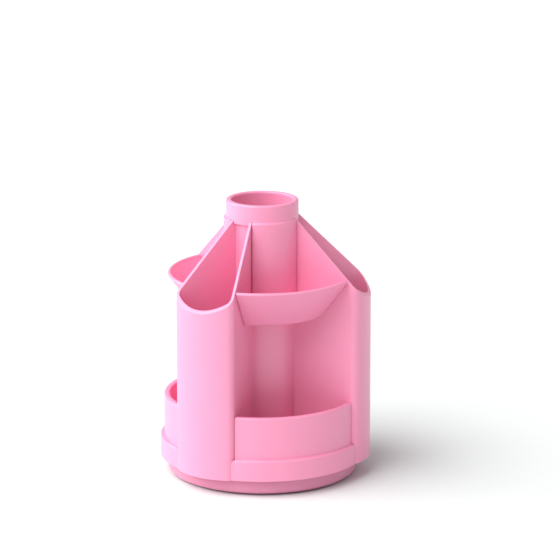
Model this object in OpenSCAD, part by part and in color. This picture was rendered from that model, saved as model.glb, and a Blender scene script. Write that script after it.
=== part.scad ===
// Rotating desk organizer: three tall pen wells around a centre tube, with an open bay
// between each pair of wells that holds a bin at the bottom and a scoop tray at the top.
// The whole upper part swivels on a flat foot. The origin is where the swivel axis meets
// the table, +Z is up, and one bay faces -Y.

/* [Overall] */
// Height from the table to the top of the collar
total_h = 133.3; // [131:0.1:138]
// Radius of the skirt around the dish
skirt_r = 49; // [48.5:0.1:50]
// Reach of a pen well from the swivel axis, at the middle of its front
well_reach = 51.8; // [51:0.1:53]
// Radius of the curved front of a pen well
well_front_r = 27.5; // [26:0.1:29]
// Angle that one open bay takes up around the axis
bay_angle = 79.7; // [78:0.1:81]
// Radius of a pen well's two front corners
well_corner_r = 3.6; // [3:0.1:4]
// Wall thickness of the tower, the trays and the panels
wall = 1.5; // [1.2:0.1:1.6]

/* [Tower] */
// Inner radius of the centre tube
tube_r = 14.5; // [14:0.1:14.8]
// Outer radius of the centre tube where it shows in a bay
tube_out_r = 16.8; // [16.6:0.1:17]
// Height of the sloping rim above the middle of a well's front
rim_front_h = 88.1; // [86:0.1:90]
// Slope of a well's rim, in degrees from level
rim_slope = 46.5; // [45:0.5:47]

/* [Dish] */
// Height of the underside of the dish and the skirt
skirt_z = 8.3; // [8.2:0.1:8.6]
// Height of the top of the skirt
skirt_top = 18.4; // [16:0.1:22]
// Outer radius of the bin walls
bin_r = 47.1; // [46.5:0.1:47.5]
// Thickness of the bin walls
bin_wall = 2.8; // [2:0.1:3]
// Height of the top of the bin walls
bin_top = 38.7; // [34:0.1:45]

/* [Tray insert] */
// Height of the underside of the trays
tray_z = 78.5; // [76:0.1:80]
// Height of the front lip of the trays
tray_lip_z = 98.2; // [97:0.1:99]
// Outer radius of the front lip of the trays
tray_lip_r = 44.9; // [44:0.1:46]
// Outer radius of the collar
collar_r = 17.2; // [17:0.1:17.6]
// Height of the underside of the collar
collar_z = 123.4; // [123:0.1:125]
// Outer radius of the panels that carry the trays
panel_r = 18.3; // [18:0.1:18.6]

/* [Foot] */
// Radius of the foot
foot_r = 45.4; // [44:0.1:46]
// Thickness of the foot's bottom plate
foot_plate = 3; // [2.8:0.1:3.2]
// Radius of the rubber pads
pad_r = 5; // [4:0.5:6]
// Height that the pads stand out under the foot
pad_proud = 1; // [0.8:0.1:1.2]
// Distance of the pads from the axis
pad_place_r = 35; // [33:0.5:36]
// Number of pads
pad_count = 4; // [4]

/* [Swivel] */
// Radius of the pivot boss under the dish
pivot_r = 6; // [5:0.1:7]
// Radial clearance between the pivot boss and the hub
pivot_gap = 0.08; // [0.05:0.01:0.1]
// Radius of the washer that holds the foot on
washer_r = 9.2; // [8.5:0.1:9.4]

/* [Hidden] */
$fn = 128;

well_half = 60 - bay_angle / 2;
bay_half = bay_angle / 2;
well_centre = well_reach - well_front_r;
// Centre of a well's corner arc, which touches the side wall and the curved front
corner_run = well_centre * cos(well_half) + sqrt(
    pow(well_front_r - well_corner_r, 2) - pow(well_corner_r, 2)
    + 2 * well_centre * well_corner_r * sin(well_half) - pow(well_centre * sin(well_half), 2));
corner_at = corner_run * [cos(well_half), sin(well_half)]
    + well_corner_r * [sin(well_half), -cos(well_half)];
front_half = atan2(corner_at[1], corner_at[0] - well_centre);
fit_gap = 0.15;
seat_gap = 0.05;
reach = 70;
plate_t = 2;
plate_top = skirt_z + plate_t;
plate_r = 45.5;
sleeve_r = tube_r + wall;
lip_t = 1.9;
tube_top = total_h - lip_t;
rim_edge = 0.9;
screw_place_r = 21;
post_r = 3;
post_h = 9;
pilot_r = 1.1;
shank_r = 1.3;
foot_top = 7.6;
foot_wall = 2;
foot_edge_r = 2;
shoulder_z = 3.2;
boss_end = shoulder_z - 0.1;
washer_t = 1;
head_t = 1.4;
glide_in_r = 34;
glide_out_r = 37;
glide_t = 1.8;
glide_top = skirt_z - 0.1;
pocket_depth = 1;
tray_front = 36.87;
tray_corner_r = 5;

// Points of an arc about c, from angle a0 to a1
function arc(c, r, a0, a1, n = 6) =
    [for (k = [0:n]) let (a = a0 + (a1 - a0) * k / n) c + r * [cos(a), sin(a)]];

// Flat wedge that opens along +X, with both sides drawn in by a gap
module wedge(half, gap = 0)
    translate([gap / sin(half), 0])
        polygon([[0, 0], [reach, -reach * tan(half)], [reach, reach * tan(half)]]);

module ring(r_out, r_in, z0, z1)
    translate([0, 0, z0]) difference() {
        cylinder(r = r_out, h = z1 - z0);
        translate([0, 0, -1]) cylinder(r = r_in, h = z1 - z0 + 2);
    }

// Outline of a pen well, drawn in by a distance on every side
module well_outline(inset = 0)
    polygon(concat(
        [[inset / sin(well_half), 0]],
        arc([corner_at[0], -corner_at[1]], well_corner_r - inset, -90 - well_half, -front_half),
        [for (k = [1:15]) let (a = front_half * (k / 8 - 1))
            [well_centre, 0] + (well_front_r - inset) * [cos(a), sin(a)]],
        arc(corner_at, well_corner_r - inset, front_half, 90 + well_half)
    ));

module at_wells() for (i = [0:2]) rotate(90 + 120 * i) children();

module at_bays() for (i = [0:2]) rotate(-90 + 120 * i) children();

// Everything above the sloping rim of a well
module above_rim()
    translate([well_reach, 0, rim_front_h])
        rotate([0, rim_slope, 0])
            translate([-2 * reach, -reach, 0]) cube([3 * reach, 2 * reach, reach]);

// Keeps its children to the three bays, clear of the well walls
module in_bays(z0, z1)
    intersection() {
        children();
        translate([0, 0, z0])
            at_bays() linear_extrude(z1 - z0) wedge(bay_half, fit_gap);
    }

// Keeps its children to the three bays and cuts them along the wells, round corners included
module between_wells(z0, z1)
    difference() {
        intersection() {
            children();
            translate([0, 0, z0])
                at_bays() linear_extrude(z1 - z0) wedge(bay_half + 4);
        }
        translate([0, 0, z0 - 1])
            at_wells() linear_extrude(z1 - z0 + 2) well_outline(-fit_gap);
    }

// Three wells and the centre tube in one moulding, open underneath
module tower() color("#ffa8cc")
    difference() {
        union() {
            at_wells() well_shell();
            translate([0, 0, plate_top]) cylinder(r = sleeve_r, h = tube_top - plate_top);
            intersection() {
                translate([0, 0, plate_top]) cylinder(r = tube_out_r, h = tray_z - plate_top);
                at_bays() linear_extrude(tray_z) wedge(bay_half + 2);
            }
        }
        cylinder(r = tube_r, h = 3 * total_h, center = true);
    }

// One well, cut back where the dish's plate closes it below and where the collar passes above
module well_shell()
    difference() {
        union() {
            difference() {
                translate([0, 0, skirt_z]) linear_extrude(total_h - skirt_z) well_outline();
                translate([0, 0, skirt_z - 1]) linear_extrude(total_h) well_outline(wall);
            }
            translate([screw_place_r, 0, plate_top]) cylinder(r = post_r, h = post_h, $fn = 48);
            translate([tube_r, -wall, plate_top])
                cube([screw_place_r - tube_r, 2 * wall, post_h - 1]);
        }
        above_rim();
        cylinder(r = tube_r + wall / 2, h = 3 * total_h, center = true);
        translate([0, 0, collar_z - fit_gap]) cylinder(r = collar_r + fit_gap, h = total_h);
        translate([0, 0, skirt_z - 1]) cylinder(r = plate_r + fit_gap, h = plate_t + seat_gap + 1);
        translate([screw_place_r, 0, plate_top - 1]) cylinder(r = pilot_r, h = post_h - 1, $fn = 32);
    }

// Bottom plate with the pivot boss, the skirt and the three bin walls
module bin_dish() color("#ffa8cc")
    difference() {
        union() {
            translate([0, 0, skirt_z]) cylinder(r = plate_r, h = plate_t);
            translate([0, 0, skirt_z])
                at_wells() linear_extrude(plate_t) well_outline(wall + fit_gap);
            between_wells(skirt_z, bin_top) {
                ring(skirt_r, bin_r - 1, skirt_z, skirt_top);
                ring(bin_r, bin_r - bin_wall, skirt_z, bin_top);
            }
            translate([0, 0, boss_end]) cylinder(r = pivot_r, h = plate_top - boss_end);
        }
        translate([0, 0, boss_end - 1]) cylinder(r = pilot_r, h = plate_top - boss_end, $fn = 32);
        at_wells() translate([screw_place_r, 0, skirt_z - 1])
            cylinder(r = shank_r + fit_gap, h = plate_t + 2, $fn = 32);
    }

// Collar over the tube, with a panel and a scoop tray hanging in each bay
module tray_insert() color("#ff9cc4")
    union() {
        rotate_extrude() polygon(concat(
            [[sleeve_r + 0.05, collar_z], [collar_r, collar_z]],
            arc([collar_r - rim_edge, total_h - rim_edge], rim_edge, 0, 90),
            arc([tube_r + rim_edge, total_h - rim_edge], rim_edge, 90, 180),
            [[tube_r, tube_top], [sleeve_r + 0.05, tube_top]]
        ));
        in_bays(tray_z, collar_z + 3) rotate_extrude() tray_profile();
    }

// Section of a panel and its tray, as radius and height
module tray_profile() {
    floor_top = tray_z + wall;
    lip_low = tray_lip_z - rim_edge;
    run = tan(tray_front);
    normal = [cos(tray_front), -sin(tray_front)];
    corner_z = tray_z + tray_corner_r;
    corner_x = tray_lip_r - (lip_low - corner_z) * run - tray_corner_r / normal[0];
    lip_in = tray_lip_r - 2 * rim_edge;
    polygon(concat(
        [[sleeve_r + 0.05, tray_z]],
        arc([corner_x, corner_z], tray_corner_r, -90, -tray_front),
        arc([tray_lip_r - rim_edge, lip_low], rim_edge, 0, 180),
        arc([corner_x, corner_z], tray_corner_r - wall, -tray_front, -90),
        [[panel_r + wall, floor_top]],
        arc([panel_r + wall, floor_top + wall], wall, -90, -180),
        [[panel_r, collar_z + 1.1], [collar_r - 0.1, collar_z + 2.3], [sleeve_r + 0.05, collar_z + 2.3]]
    ));
}

// Flat foot with the hub that the pivot boss turns in
module base_foot() color("#dd8eab")
    difference() {
        union() {
            rotate_extrude() polygon(concat(
                [[0, pad_proud]],
                arc([foot_r - foot_edge_r, pad_proud + foot_edge_r], foot_edge_r, -90, 0),
                [[foot_r, foot_top], [foot_r - foot_wall, foot_top],
                 [foot_r - foot_wall, pad_proud + foot_plate], [0, pad_proud + foot_plate]]
            ));
            ring(pivot_r + 3, pivot_r - 1, pad_proud + 1, foot_top);
            ring(glide_out_r + wall, glide_in_r - wall, pad_proud + 1, glide_top - 0.7);
        }
        cylinder(r = pivot_r + pivot_gap, h = 3 * foot_top, center = true);
        translate([0, 0, -1]) cylinder(r = washer_r + 0.8, h = shoulder_z + 1);
        ring(glide_out_r + 0.05, glide_in_r - 0.05, glide_top - glide_t, foot_top + 1);
        for (i = [0:pad_count - 1]) pad_at(i)
            translate([0, 0, pad_proud - 1])
                cylinder(r = pad_r + 0.1, h = 1 + pocket_depth, $fn = 64);
    }

module pad_at(i)
    rotate(45 + 360 / pad_count * i) translate([pad_place_r, 0, 0]) children();

module foot_pad(i) color("#54444a")
    pad_at(i) cylinder(r = pad_r, h = pad_proud + pocket_depth, $fn = 64);

module glide_ring() color("#f2efe8")
    ring(glide_out_r, glide_in_r, glide_top - glide_t, glide_top);

module pivot_washer() color("#c4c6c9")
    ring(washer_r, shank_r + 0.1, boss_end - washer_t, boss_end);

// Pan-head thread-forming screw with a cross recess, head down, its shank's end at the origin
module screw(shank_len)
    difference() {
        union() {
            translate([0, 0, -shank_len]) cylinder(r = shank_r, h = shank_len, $fn = 32);
            translate([0, 0, -shank_len - head_t]) cylinder(r1 = 2.4, r2 = 2.8, h = head_t, $fn = 48);
        }
        for (turn = [0, 90]) rotate(turn)
            translate([-1.6, -0.35, -shank_len - head_t - 1]) cube([3.2, 0.7, 1.8]);
    }

module pivot_screw() color("#a9adb2")
    translate([0, 0, plate_top - 1.2]) screw(plate_top - 1.2 - boss_end + washer_t);

module tower_screws() color("#a9adb2")
    at_wells() translate([screw_place_r, 0, plate_top + 6]) screw(6 + plate_t);

base_foot();
foot_pad(0);  // foot_pad_1
foot_pad(1);  // foot_pad_2
foot_pad(2);  // foot_pad_3
foot_pad(3);  // foot_pad_4
glide_ring();
pivot_washer();
pivot_screw();
bin_dish();
tower();
tower_screws();
tray_insert();
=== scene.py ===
import math

import bmesh
import bpy
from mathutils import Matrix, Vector


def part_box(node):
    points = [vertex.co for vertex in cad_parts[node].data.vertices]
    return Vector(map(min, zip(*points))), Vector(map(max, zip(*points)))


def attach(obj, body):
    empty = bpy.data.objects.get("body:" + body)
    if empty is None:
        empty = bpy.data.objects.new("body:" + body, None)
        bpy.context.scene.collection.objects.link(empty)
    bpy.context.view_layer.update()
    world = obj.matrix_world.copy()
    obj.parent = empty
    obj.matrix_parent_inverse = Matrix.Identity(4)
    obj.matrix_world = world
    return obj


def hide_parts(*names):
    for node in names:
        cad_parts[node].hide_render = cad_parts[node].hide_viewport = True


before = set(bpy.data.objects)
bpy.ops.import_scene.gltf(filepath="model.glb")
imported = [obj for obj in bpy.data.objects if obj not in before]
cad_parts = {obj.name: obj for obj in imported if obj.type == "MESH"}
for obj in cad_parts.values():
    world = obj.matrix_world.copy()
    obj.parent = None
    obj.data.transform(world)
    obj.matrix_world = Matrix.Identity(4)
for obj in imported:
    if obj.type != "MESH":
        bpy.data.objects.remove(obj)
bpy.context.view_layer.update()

# ---------------------------------------------------------------------------
# Foot. A flat disc that stays on the table while the rest turns on it. It is injection-moulded
# in the same pink polystyrene, with a raised rim, a hub for the pivot boss, a seat for the
# glide ring and four shallow pockets underneath for the rubber pads.
# ---------------------------------------------------------------------------
MM = 0.001


def arc(cx, cy, r, start, end, steps=8):
    """Points of an arc about (cx, cy), from one angle to another in degrees."""
    turns = [math.radians(start + (end - start) * k / steps) for k in range(steps + 1)]
    return [(cx + r * math.cos(t), cy + r * math.sin(t)) for t in turns]


def skin(name, sections, ring=False):
    """A closed mesh through equal closed sections, in millimetres. Its ends are capped, or
    the last section joins the first."""
    count, total = len(sections[0]), len(sections)
    faces = []
    for k in range(total if ring else total - 1):
        near, far = k * count, (k + 1) % total * count
        for i in range(count):
            j = (i + 1) % count
            faces.append((near + i, far + i, far + j, near + j))
    if not ring:
        faces += [tuple(range(count)), tuple(range((total - 1) * count, total * count))]
    mesh = bpy.data.meshes.new(name)
    mesh.from_pydata([Vector(p) * MM for section in sections for p in section], [], faces)
    shell = bmesh.new()
    shell.from_mesh(mesh)
    bmesh.ops.remove_doubles(shell, verts=shell.verts, dist=0.0005 * MM)
    for edge in [e for e in shell.edges if e.is_wire]:
        shell.edges.remove(edge)
    bmesh.ops.recalc_face_normals(shell, faces=shell.faces)
    shell.to_mesh(mesh)
    shell.free()
    piece = bpy.data.objects.new(name, mesh)
    bpy.context.scene.collection.objects.link(piece)
    return piece


def turned(name, profile, at=(0, 0), steps=192):
    """A closed profile of (radius, height) turned right round a vertical axis."""
    turns = [2 * math.pi * k / steps for k in range(steps)]
    return skin(name, [[(at[0] + r * math.cos(t), at[1] + r * math.sin(t), z) for r, z in profile]
                       for t in turns], ring=True)


def prism(name, outline, low, high):
    """An outline of (x, y) points raised from one height to another."""
    return skin(name, [[(x, y, z) for x, y in outline] for z in (low, high)])


def join(piece, tool, how):
    """Melts a tool into a piece (UNION) or cuts it out (DIFFERENCE), and removes the tool."""
    step = piece.modifiers.new("join", "BOOLEAN")
    step.operation, step.solver, step.object = how, "MANIFOLD", tool
    made = bpy.data.meshes.new_from_object(
        piece.evaluated_get(bpy.context.evaluated_depsgraph_get()))
    piece.modifiers.clear()
    piece.data = made
    bpy.data.objects.remove(tool)


def shade(piece, material):
    """Clears slivers off a piece, and gives it its material, smooth curves and flat flats."""
    body = bmesh.new()
    body.from_mesh(piece.data)
    bmesh.ops.dissolve_degenerate(body, edges=body.edges, dist=0.002 * MM)
    body.to_mesh(piece.data)
    body.free()
    piece.data.materials.clear()
    piece.data.materials.append(material)
    piece.data.shade_smooth()
    piece.data.set_sharp_from_angle(angle=math.radians(35))
    flats = piece.modifiers.new("flats", "WEIGHTED_NORMAL")
    flats.keep_sharp = True


def linear(code):
    """An sRGB hex colour as the linear colour that shaders take."""
    parts = [int(code[i:i + 2], 16) / 255 for i in (1, 3, 5)]
    return [p / 12.92 if p <= 0.04045 else ((p + 0.055) / 1.055) ** 2.4 for p in parts] + [1]


def add(tree, kind, settings=None, links=None):
    """Adds a shader node, sets its properties and sockets, and links its inputs."""
    made = tree.nodes.new(kind)
    for key, value in (settings or {}).items():
        if isinstance(key, int) or key in made.inputs:
            made.inputs[key].default_value = value
        else:
            setattr(made, key, value)
    for key, source in (links or {}).items():
        tree.links.new(source, made.inputs[key])
    return made


def blank(name):
    """A new material with an empty node tree."""
    finish = bpy.data.materials.new(name)
    finish.use_nodes = True
    finish.node_tree.nodes.clear()
    return finish, finish.node_tree


def polystyrene(name, colour, deep):
    """High-impact polystyrene from a polished mould: satin gloss, a little light gets under
    the skin, and the melt's flow leaves very soft clouds in its colour and gloss."""
    finish, tree = blank(name)
    place = add(tree, "ShaderNodeTexCoord").outputs["Object"]
    # the melt's flow marks are broad, about 22 mm from one to the next
    flow = add(tree, "ShaderNodeTexNoise", {"Scale": 1 / (22 * MM), "Detail": 2.0},
               {"Vector": place}).outputs["Fac"]
    tone = add(tree, "ShaderNodeMix", {"data_type": "RGBA", 6: linear(deep), 7: linear(colour)},
               {0: flow}).outputs[2]
    # the mould's spark-fine grain is about 0.1 mm; it is drawn at 0.4 mm so that it shows
    grain = add(tree, "ShaderNodeTexNoise", {"Scale": 1 / (0.4 * MM), "Detail": 2.0},
                {"Vector": place}).outputs["Fac"]
    # walls sink a little as they cool, in hollows about 14 mm wide
    sink = add(tree, "ShaderNodeTexNoise", {"Scale": 1 / (14 * MM), "Detail": 1.0},
               {"Vector": place}).outputs["Fac"]
    gloss = add(tree, "ShaderNodeMapRange", {"To Min": 0.30, "To Max": 0.38},
                {"Value": flow}).outputs["Result"]
    bump = add(tree, "ShaderNodeBump", {"Strength": 0.06, "Distance": 0.02 * MM},
               {"Height": grain}).outputs["Normal"]
    bump = add(tree, "ShaderNodeBump", {"Strength": 0.08, "Distance": 0.1 * MM},
               {"Height": sink, "Normal": bump}).outputs["Normal"]
    shader = add(tree, "ShaderNodeBsdfPrincipled",
                 {"IOR": 1.59, "Subsurface Weight": 0.15, "Subsurface Scale": 1.5 * MM,
                  "Subsurface Radius": (1.0, 0.5, 0.6)},
                 {"Base Color": tone, "Roughness": gloss, "Normal": bump})
    add(tree, "ShaderNodeOutputMaterial", None, {"Surface": shader.outputs["BSDF"]})
    return finish


foot_low, foot_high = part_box("base_foot")
foot_r, foot_z, foot_top = foot_high.x / MM, foot_low.z / MM, foot_high.z / MM
glide_low, glide_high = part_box("glide_ring")
glide_out, glide_z, glide_top = glide_high.x / MM, glide_low.z / MM, glide_high.z / MM
washer_low, washer_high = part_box("pivot_washer")
washer_r, washer_z, washer_top = washer_high.x / MM, washer_low.z / MM, washer_high.z / MM
glide_in, glide_fit = glide_out - 3, 0.05
boss_r, hub_r, rib_t, plate_t, rim_t = 6.0, 9.0, 1.5, 3.0, 2.0
bore_r, recess_r = boss_r + 0.08, washer_r + 0.8
floor_z, shoulder_z, seat_z = foot_z + plate_t, washer_top + 0.1, foot_top - 0.1
low_round, rim_round, rim_in_round, recess_round = 2, 0.5, 0.4, 0.3
fillet, rib_fillet = 0.8, 0.5

foot = turned("foot_disc", (
    [(bore_r, shoulder_z), (recess_r, shoulder_z)]
    + arc(recess_r + recess_round, foot_z + recess_round, recess_round, 180, 270, 3)
    + arc(foot_r - low_round, foot_z + low_round, low_round, -90, 0, 10)
    + arc(foot_r - rim_round, foot_top - rim_round, rim_round, 0, 90, 5)
    + arc(foot_r - rim_t + rim_in_round, foot_top - rim_in_round, rim_in_round, 90, 180, 4)
    + arc(foot_r - rim_t - fillet, floor_z + fillet, fillet, 0, -90, 5)
    + arc(glide_out + rib_t + rib_fillet, floor_z + rib_fillet, rib_fillet, 270, 180, 4)
    + [(glide_out + rib_t, seat_z), (glide_out + glide_fit, seat_z), (glide_out + glide_fit, glide_z),
       (glide_in - glide_fit, glide_z), (glide_in - glide_fit, seat_z), (glide_in - rib_t, seat_z)]
    + arc(glide_in - rib_t - rib_fillet, floor_z + rib_fillet, rib_fillet, 0, -90, 4)
    + arc(hub_r + fillet, floor_z + fillet, fillet, 270, 180, 5)
    + arc(hub_r - rim_in_round, foot_top - rim_in_round, rim_in_round, 0, 90, 4)
    + [(bore_r, foot_top)]
))
pads = [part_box(f"foot_pad_{index}") for index in range(1, 5)]
for low, high in pads:
    at, pad_r, pad_top = (low + high) / 2 / MM, (high.x - low.x) / 2 / MM, high.z / MM
    join(foot, turned("pocket", [(0, -1), (pad_r + 0.1, -1), (pad_r + 0.1, pad_top), (0, pad_top)],
                      at, 64), "DIFFERENCE")
# the foot's pink is painted darker than the rest of the same polystyrene: painted shade, for the
# shadow that the skirt casts over the foot
shade(foot, polystyrene("foot polystyrene darkened as painted shade", "#da89a9", "#d685a5"))
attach(foot, "base")
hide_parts("base_foot")

# ---------------------------------------------------------------------------
# Pads. Four round pads of moulded rubber, pressed into the foot's pockets so that it doesn't
# slip or scratch. They are matt and nearly black, with a groove that lets them grip.
# ---------------------------------------------------------------------------
rubber, tree = blank("natural rubber moulded")
place = add(tree, "ShaderNodeTexCoord").outputs["Object"]
# rubber's bloom lies in spots of 1 to 2 mm
bloom = add(tree, "ShaderNodeTexNoise", {"Scale": 1 / (1.5 * MM), "Detail": 5.0},
            {"Vector": place}).outputs["Fac"]
tone = add(tree, "ShaderNodeMix", {"data_type": "RGBA", 6: linear("#2f2a2c"), 7: linear("#453e41")},
           {0: bloom}).outputs[2]
bump = add(tree, "ShaderNodeBump", {"Strength": 0.3, "Distance": 0.05 * MM},
           {"Height": bloom}).outputs["Normal"]
shader = add(tree, "ShaderNodeBsdfPrincipled", {"IOR": 1.52, "Roughness": 0.78},
             {"Base Color": tone, "Normal": bump})
add(tree, "ShaderNodeOutputMaterial", None, {"Surface": shader.outputs["BSDF"]})

groove_half, groove_deep, pad_round, pad_top_round = 0.4, 0.3, 0.4, 0.2
for index, (low, high) in enumerate(pads, 1):
    at, pad_r, pad_top = (low + high) / 2 / MM, (high.x - low.x) / 2 / MM, high.z / MM
    groove_r = pad_r - 2
    pad = turned(f"rubber_pad_{index}", (
        [(0, 0), (groove_r - groove_half, 0), (groove_r - groove_half / 2, groove_deep),
         (groove_r + groove_half / 2, groove_deep), (groove_r + groove_half, 0)]
        + arc(pad_r - pad_round, pad_round, pad_round, -90, 0, 4)
        + arc(pad_r - pad_top_round, pad_top - pad_top_round, pad_top_round, 0, 90, 3)
        + [(0, pad_top)]), at, 64)
    shade(pad, rubber)
    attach(pad, "base")
    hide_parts(f"foot_pad_{index}")

# ---------------------------------------------------------------------------
# Glide ring. A slip ring of natural white acetal that lies in the foot's seat and carries the
# dish. It is waxy, and its top is faintly scuffed by the turning.
# ---------------------------------------------------------------------------
acetal, tree = blank("natural acetal moulded")
place = add(tree, "ShaderNodeTexCoord").outputs["Object"]
# the turning wears patches of about 2 mm
scuff = add(tree, "ShaderNodeTexNoise", {"Scale": 1 / (2 * MM), "Detail": 4.0},
            {"Vector": place}).outputs["Fac"]
gloss = add(tree, "ShaderNodeMapRange", {"To Min": 0.38, "To Max": 0.52},
            {"Value": scuff}).outputs["Result"]
tone = add(tree, "ShaderNodeMix", {"data_type": "RGBA", 6: linear("#efece4"), 7: linear("#f7f5f0")},
           {0: scuff}).outputs[2]
shader = add(tree, "ShaderNodeBsdfPrincipled",
             {"IOR": 1.48, "Subsurface Weight": 0.2, "Subsurface Scale": 1 * MM},
             {"Base Color": tone, "Roughness": gloss})
add(tree, "ShaderNodeOutputMaterial", None, {"Surface": shader.outputs["BSDF"]})

glide_round = 0.3
glide = turned("glide_band", (
    arc(glide_in + glide_round, glide_z + glide_round, glide_round, 180, 270, 3)
    + arc(glide_out - glide_round, glide_z + glide_round, glide_round, 270, 360, 3)
    + arc(glide_out - glide_round, glide_top - glide_round, glide_round, 0, 90, 3)
    + arc(glide_in + glide_round, glide_top - glide_round, glide_round, 90, 180, 3)))
shade(glide, acetal)
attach(glide, "base")
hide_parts("glide_ring")

# ---------------------------------------------------------------------------
# Washer and screws. Zinc-plated steel: the washer and the middle screw hold the foot on, and
# three screws hold the tower on the dish. The plating is bright, bluish and faintly mottled.
# ---------------------------------------------------------------------------
zinc, tree = blank("zinc-plated steel")
place = add(tree, "ShaderNodeTexCoord").outputs["Object"]
# zinc's crystals are about 0.1 mm; they are drawn at 0.8 mm so that they show
mottle = add(tree, "ShaderNodeTexNoise", {"Scale": 1 / (0.8 * MM), "Detail": 3.0},
             {"Vector": place}).outputs["Fac"]
gloss = add(tree, "ShaderNodeMapRange", {"To Min": 0.22, "To Max": 0.38},
            {"Value": mottle}).outputs["Result"]
tone = add(tree, "ShaderNodeMix", {"data_type": "RGBA", 6: linear("#b4b9c0"), 7: linear("#cfd3d6")},
           {0: mottle}).outputs[2]
shader = add(tree, "ShaderNodeBsdfPrincipled", {"Metallic": 1.0},
             {"Base Color": tone, "Roughness": gloss})
add(tree, "ShaderNodeOutputMaterial", None, {"Surface": shader.outputs["BSDF"]})

# the punch rounds the side that it enters more than the other
hole_r, punch_round, burr_round = 1.4, 0.25, 0.15
washer = turned("washer_disc", (
    arc(washer_r - punch_round, washer_z + punch_round, punch_round, -90, 0, 3)
    + arc(washer_r - burr_round, washer_top - burr_round, burr_round, 0, 90, 2)
    + [(hole_r, washer_top), (hole_r, washer_z)]))
shade(washer, zinc)
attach(washer, "carousel")
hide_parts("pivot_washer")
for node in ("pivot_screw", "tower_screws"):
    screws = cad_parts[node]
    screws.data.materials.clear()
    screws.data.materials.append(zinc)

# ---------------------------------------------------------------------------
# Dish. One moulding: a round plate that closes the wells from below, a skirt that stands
# proud at the foot of each bay, and a curved bin wall in each bay. The bin walls end a
# hair's breadth from the wells. The pivot boss under the plate turns in the foot's hub.
# ---------------------------------------------------------------------------
pink = polystyrene("candy-pink polystyrene moulded", "#f499bc", "#f295b8")

BAY_HALF, WELL_HALF = 39.85, 20.15
BAYS, WELLS = (-90, 30, 150), (90, 210, 330)
dish_low, dish_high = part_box("bin_dish")
skirt_r, bin_top, boss_z = dish_high.x / MM, dish_high.z / MM, dish_low.z / MM
plate_z, plate_top, plate_r, skirt_top = 8.3, 10.3, 45.5, 18.4
bin_out, bin_in, fit_gap = 47.1, 44.3, 0.15
screw_r, pilot_r, shank_r = 21, 1.1, 1.45
# the gaps beside the skirt and the bins, and how far in from their ends they are rounded off
skirt_gap, bin_gap, end_r = 0.03, 0.12, 1.5
skirt_round, skirt_low_round = 1.0, 0.4
bin_round, bin_fillet, bin_foot_fillet = 0.9, 0.4, 1.2


def round_off(away, r):
    """How far a rounded edge has dropped, at a distance from the end that it rounds."""
    lack = max(r - away, 0)
    return r - math.sqrt(r * r - lack * lack)


def bulge(r, gap):
    """How far a well's round corner has left its side wall's plane, at a radius."""
    lack, round_r = max(r - run, 0), corner_r + gap
    return round_r - math.sqrt(round_r * round_r - lack * lack)


def swept(name, profile, turn, gap, rounding, steps=40):
    """A bay's piece: a profile of (radius, height), which depends on the distance from the
    end, swept from well to well. Both ends follow the wells' walls at a small gap."""
    near = [rounding * (1 - math.cos(math.radians(90 * k / 8))) for k in range(9)]
    rows = [(-1, away) for away in near]
    rows += [(2 * k / steps - 1, rounding) for k in range(1, steps)]
    rows += [(1, away) for away in reversed(near)]
    sections = []
    for share, away in rows:
        section = []
        for r, z in profile(away):
            reach = math.radians(BAY_HALF) - math.asin((gap + away - bulge(r, gap)) / r)
            a = math.radians(turn) + share * reach
            section.append((r * math.cos(a), r * math.sin(a), z))
        sections.append(section)
    return skin(name, sections)


def spun(outline, turn):
    """An outline turned about the swivel axis, in degrees."""
    c, s = math.cos(math.radians(turn)), math.sin(math.radians(turn))
    return [(x * c - y * s, x * s + y * c) for x, y in outline]


# a well's outline has straight sides on two radii, round corners and a round front
tower_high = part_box("tower")[1]
front_r, corner_r, wall = 27.5, 3.6, 1.5
well_reach = tower_high.y / MM
front_x = well_reach - front_r
half = math.radians(WELL_HALF)
run = front_x * math.cos(half) + math.sqrt(
    (front_r - corner_r) ** 2 - corner_r ** 2
    + 2 * front_x * corner_r * math.sin(half) - (front_x * math.sin(half)) ** 2)
corner_x = run * math.cos(half) + corner_r * math.sin(half)
corner_y = run * math.sin(half) - corner_r * math.cos(half)
front_half = math.degrees(math.atan2(corner_y, corner_x - front_x))


def well_line(inset, start_r):
    """A well's outline about +X, drawn in by an inset, from one side wall round to the other."""
    x = start_r * math.cos(half) + inset * math.sin(half)
    y = start_r * math.sin(half) - inset * math.cos(half)
    r = corner_r - inset
    return ([(x, -y)]
            + arc(corner_x, -corner_y, r, -90 - WELL_HALF, -front_half, 12)
            + arc(front_x, 0, front_r - inset, -front_half, front_half, 36)[1:-1]
            + arc(corner_x, corner_y, r, front_half, 90 + WELL_HALF, 12)
            + [(x, y)])


def skirt_profile(away):
    """The skirt's section. Its top edge is round, and the top's two ends are rounded off."""
    inset = round_off(away, 0.06)
    top = skirt_top - round_off(away, end_r)
    return (
        [(bin_in + 1, plate_z + inset)]
        + arc(skirt_r - skirt_low_round, plate_z + skirt_low_round, skirt_low_round - inset, -90, 0, 4)
        + arc(skirt_r - skirt_round, top - skirt_round, skirt_round - inset, 0, 90, 8)
        + [(bin_in + 1, top - inset)])


def bin_profile(away):
    """The bin wall's section, with a round top and a fillet on each side at its foot."""
    inset = round_off(away, 0.2)
    top = bin_top - round_off(away, 0.5)
    low = skirt_top - round_off(away, end_r)
    fillet_r = bin_out + bin_fillet
    floor_r = bin_in - bin_foot_fillet
    return (
        [(floor_r, plate_top - 1), (fillet_r, plate_top - 1), (fillet_r, low - 0.02)]
        + arc(fillet_r, low + bin_fillet, bin_fillet + inset, 270, 180, 5)
        + arc(bin_out - bin_round, top - bin_round, bin_round - inset, 0, 90, 7)
        + arc(bin_in + bin_round, top - bin_round, bin_round - inset, 90, 180, 7)
        + arc(floor_r, plate_top + bin_foot_fillet, bin_foot_fillet + inset, 0, -90, 6))


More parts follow.
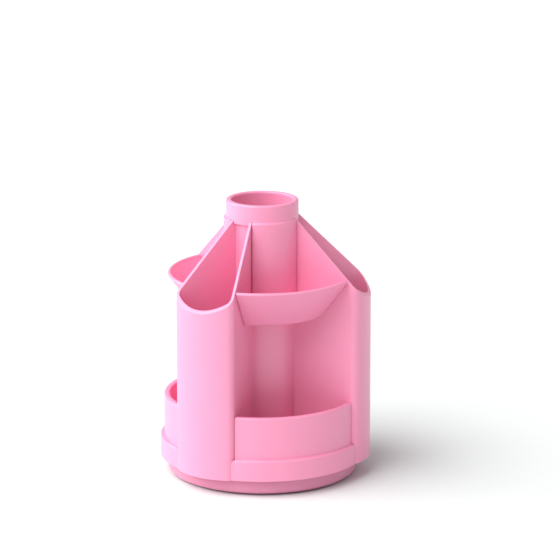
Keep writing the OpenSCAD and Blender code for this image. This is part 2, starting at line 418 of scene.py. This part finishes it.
lead_in = 0.3
dish = turned("dish_moulding", (
    [(0, boss_z), (boss_r - lead_in, boss_z), (boss_r, boss_z + lead_in), (boss_r, plate_z),
     (plate_r, plate_z), (plate_r, plate_top), (0, plate_top)]))
for turn in WELLS:
    floor_line = spun(well_line(wall + fit_gap, 20), turn)
    join(dish, prism("well_floor", floor_line, plate_z + 0.01, plate_top - 0.01), "UNION")
for turn in BAYS:
    join(dish, swept("skirt", skirt_profile, turn, skirt_gap, end_r), "UNION")
    join(dish, swept("bin", bin_profile, turn, bin_gap, end_r), "UNION")
holes = [((0, 0), pilot_r, plate_z + 0.8)]
holes += [(spun([(screw_r, 0)], turn)[0], shank_r, plate_top + 1) for turn in WELLS]
for at, r, top in holes:
    join(dish, turned("hole", [(0, 0), (r, 0), (r, top), (0, top)], at, 48), "DIFFERENCE")
shade(dish, pink)
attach(dish, "carousel")
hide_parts("bin_dish")

# ---------------------------------------------------------------------------
# Tower. One moulding: three tall pen wells, open below, standing out from a round centre
# tube. Each well's rim slopes down to the front at about 45 degrees. In the bays the tube
# shows between the wells' flat side walls, and its top passes up into the collar.
# ---------------------------------------------------------------------------
tube_in, tube_out, tube_bay, tube_top = 14.5, 16.0, 16.8, tower_high.z / MM
tray_z, collar_z, collar_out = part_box("tray_insert")[0].z / MM, 123.4, 17.2
rim_z, rim_fall, rim_edge = 88.1, math.tan(math.radians(46.5)), 0.5
post_r, post_top, rib_top = 3.0, plate_top + 9, plate_top + 8
bay_fillet, low_edge = 0.2, 0.3
# pieces that are melted together are set this much apart in height, so that no faces coincide
step_z = 0.01


def bay_line(r, fillet):
    """The tube's face in a bay about +X, with a fillet to the well's wall on each side."""
    far = r + fillet
    lean = math.degrees(math.asin((fillet - 0.01) / far))
    cx, cy = spun([(far, 0)], lean - BAY_HALF)[0]
    near_wall = arc(cx, cy, fillet, -BAY_HALF - 90, lean - BAY_HALF - 180, 8)
    face = arc(0, 0, r, lean - BAY_HALF, BAY_HALF - lean, 32)[1:-1]
    back = arc(0, 0, (tube_in + tube_out) / 2, BAY_HALF + 3, -BAY_HALF - 3, 16)
    return near_wall + face + [(x, -y) for x, y in reversed(near_wall)] + back


def wall_rows(inset, height):
    """A row of a well's wall at an inset, at a height or a drop below the sloping rim."""
    return [(x, y, height(x)) for x, y in well_line(inset, (tube_in + tube_out) / 2)]


def rim_at(drop):
    """The height of a point a small drop below the rim's plane."""
    return lambda x: rim_z + (well_reach - x) * rim_fall - drop


def well_wall(turn):
    """A well's wall as one bent sheet, with a round-edged sloping rim and a soft lower edge."""
    rows = [wall_rows(low_edge, lambda x: plate_z),
            wall_rows(0.09, lambda x: plate_z + 0.09),
            wall_rows(0, lambda x: plate_z + low_edge)]
    turns = [math.radians(90 * k / 5) for k in range(6)]
    for t in turns:
        rows.append(wall_rows(rim_edge * (1 - math.cos(t)), rim_at(rim_edge * (1 - math.sin(t)))))
    for t in reversed(turns):
        inset = wall - rim_edge * (1 - math.cos(t))
        rows.append(wall_rows(inset, rim_at(rim_edge * (1 - math.sin(t)))))
    rows.append(wall_rows(wall, lambda x: plate_z))
    sections = [[(*spun([p[:2]], turn)[0], p[2]) for p in column] for column in zip(*rows)]
    return skin("well_wall", sections)


tower = turned("tower_moulding", (
    [(tube_in, plate_top), (tube_out, plate_top), (tube_out, tube_top), (tube_in, tube_top)]))
for turn in BAYS:
    face = spun(bay_line(tube_bay, bay_fillet), turn)
    join(tower, prism("bay_face", face, plate_top, tray_z - 2 * step_z), "UNION")
rib_in = tube_out - 0.5
for turn in WELLS:
    join(tower, well_wall(turn), "UNION")
    post_at = spun([(screw_r, 0)], turn)[0]
    rib = spun([(rib_in, -wall), (screw_r, -wall), (screw_r, wall), (rib_in, wall)], turn)
    join(tower, prism("rib", rib, plate_top + step_z, rib_top), "UNION")
    post = [(0, plate_top + step_z), (post_r, plate_top + step_z), (post_r, post_top - low_edge),
            (post_r - low_edge, post_top), (0, post_top)]
    join(tower, turned("post", post, post_at, 64), "UNION")
    pilot = [(0, 0), (pilot_r, 0), (pilot_r, rib_top), (0, rib_top)]
    join(tower, turned("pilot", pilot, post_at, 48), "DIFFERENCE")
for inner, r, low, high in ((tube_out, collar_out + fit_gap, collar_z - fit_gap, tube_top + 5),
                            (0, plate_r + fit_gap, 0, plate_top + 0.05)):
    cut = [(inner, low), (r, low), (r, high), (inner, high)]
    join(tower, turned("clearance", cut), "DIFFERENCE")
shade(tower, pink)
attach(tower, "carousel")
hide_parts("tower")

# ---------------------------------------------------------------------------
# Tray insert. One moulding that slides down over the tube: the collar, a curved panel in
# each bay, and a scoop tray at the bottom of each panel. Each tray's front leans outwards
# to a rounded lip that is level with the wells' sloping walls.
# ---------------------------------------------------------------------------
top_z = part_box("tray_insert")[1].z / MM
sleeve_in, panel_r = 16.05, 18.3
lip_out, lip_z, lean, bend_r, lip_r = 44.9, 98.2, 36.87, 5.0, 0.9
tray_gap, tray_edge, shoulder_r = 0.32, 0.2, 0.8
collar_round, collar_in_round, collar_low_round = 1.0, 0.9, 0.4
panel_top = collar_z + 2.2
fall = math.tan(math.radians(lean))
bend_z, lip_low, floor_top = tray_z + bend_r, lip_z - lip_r, tray_z + wall
bend_x = lip_out - (lip_low - bend_z) * fall - bend_r / math.cos(math.radians(lean))


def tray_profile(away):
    """A bay's panel and scoop tray, with a rounded lip and rounded corners."""
    inset = round_off(away, tray_edge)
    return (
        [(sleeve_in, tray_z + inset)]
        + arc(bend_x, bend_z, bend_r - inset, -90, -lean, 10)
        + arc(lip_out - lip_r, lip_low, lip_r - inset, -lean / 2, 180, 12)
        + arc(bend_x, bend_z, bend_r - wall + inset, -lean, -90, 10)
        + arc(panel_r + wall, floor_top + wall, wall + inset, 270, 180, 8)
        + arc(panel_r - shoulder_r, collar_z + shoulder_r, shoulder_r - inset, 0, 45, 4)
        + [(collar_out - 0.2, panel_top), (sleeve_in, panel_top)])


tray = turned("tray_moulding", (
    arc(sleeve_in + tray_edge, collar_z + tray_edge, tray_edge, 180, 270, 3)
    + arc(collar_out - collar_low_round, collar_z + collar_low_round, collar_low_round, -90, 0, 4)
    + arc(collar_out - collar_round, top_z - collar_round, collar_round, 0, 90, 8)
    + arc(tube_in + collar_in_round, top_z - collar_in_round, collar_in_round, 90, 180, 8)
    + [(tube_in, tube_top + step_z), (sleeve_in, tube_top + step_z)]))
for turn in BAYS:
    join(tray, swept("tray", tray_profile, turn, tray_gap, tray_edge), "UNION")
shade(tray, pink)
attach(tray, "carousel")
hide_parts("tray_insert")

# ---------------------------------------------------------------------------
# Studio. A white paper table and a bright room, as for a catalogue. One very soft light comes
# from the front left, a softbox on the left brightens that side, and a weak one fills the right.
# ---------------------------------------------------------------------------
paper, tree = blank("white paper sweep")
place = add(tree, "ShaderNodeTexCoord").outputs["Object"]
# the paper's fibres clump about every 3 mm
fibre = add(tree, "ShaderNodeTexNoise", {"Scale": 1 / (3 * MM), "Detail": 2.0},
            {"Vector": place}).outputs["Fac"]
tone = add(tree, "ShaderNodeMix", {"data_type": "RGBA", 6: linear("#e4e9e7"), 7: linear("#e7ebea")},
           {0: fibre}).outputs[2]
shader = add(tree, "ShaderNodeBsdfPrincipled", {"Roughness": 0.9, "Specular IOR Level": 0.1},
             {"Base Color": tone})
add(tree, "ShaderNodeOutputMaterial", None, {"Surface": shader.outputs["BSDF"]})
# the table lies a hair under the pads, so that no two faces are in one plane
table_z, table_half = -0.02 * MM, 8
corners = [(-1, -1), (1, -1), (1, 1), (-1, 1)]
floor = bpy.data.objects.new("floor", bpy.data.meshes.new("floor"))
floor.data.from_pydata([(table_half * x, table_half * y, table_z) for x, y in corners], [],
                       [(0, 1, 2, 3)])
bpy.context.scene.collection.objects.link(floor)
floor.data.materials.append(paper)

# the camera stands this far to the left of the front bay's middle, in degrees
view_turn = -23.65


def seen_from(turn, distance, height):
    """A place at a turn from the camera's own direction, positive to the camera's right."""
    a = math.radians(view_turn + turn)
    return Vector((distance * math.sin(a), -distance * math.cos(a), height))


def aim(name, lamp, place):
    """Puts a lamp at a place and points it at the organizer's middle."""
    rig = bpy.data.objects.new(name, lamp)
    rig.location = place
    rig.rotation_euler = (Vector((0, 0, 0.06)) - place).to_track_quat("-Z", "Y").to_euler()
    bpy.context.scene.collection.objects.link(rig)


key = bpy.data.lights.new("key", "SUN")
key.energy, key.angle = 3.25, math.radians(62)
aim("key", key, seen_from(-56, 1.0, 1.2))
side = bpy.data.lights.new("side", "AREA")
side.size, side.energy = 1.0, 10.5
aim("side", side, seen_from(-105, 1.3, 0.4))
fill = bpy.data.lights.new("fill", "AREA")
fill.size, fill.energy = 0.8, 0.45
aim("fill", fill, seen_from(35, 1.2, 0.5))

room = bpy.data.worlds.new("studio")
room.use_nodes = True
room.node_tree.nodes["Background"].inputs["Color"].default_value = (1, 1, 1, 1)
room.node_tree.nodes["Background"].inputs["Strength"].default_value = 0.47
bpy.context.scene.world = room
bpy.context.scene.view_settings.view_transform = "Standard"

# a long lens from 1.5 m away that looks a little down, with the organizer low in the frame
tilt, swing = 14.349, 0.319
lens = bpy.data.cameras.new("camera")
lens.sensor_width = 36
lens.lens = 210.5
camera = bpy.data.objects.new("camera", lens)
camera.location = seen_from(0, 1.5090, 0.4794)
camera.rotation_euler = (math.radians(90 - tilt), 0, math.radians(view_turn - swing))
bpy.context.scene.collection.objects.link(camera)
bpy.context.scene.camera = camera
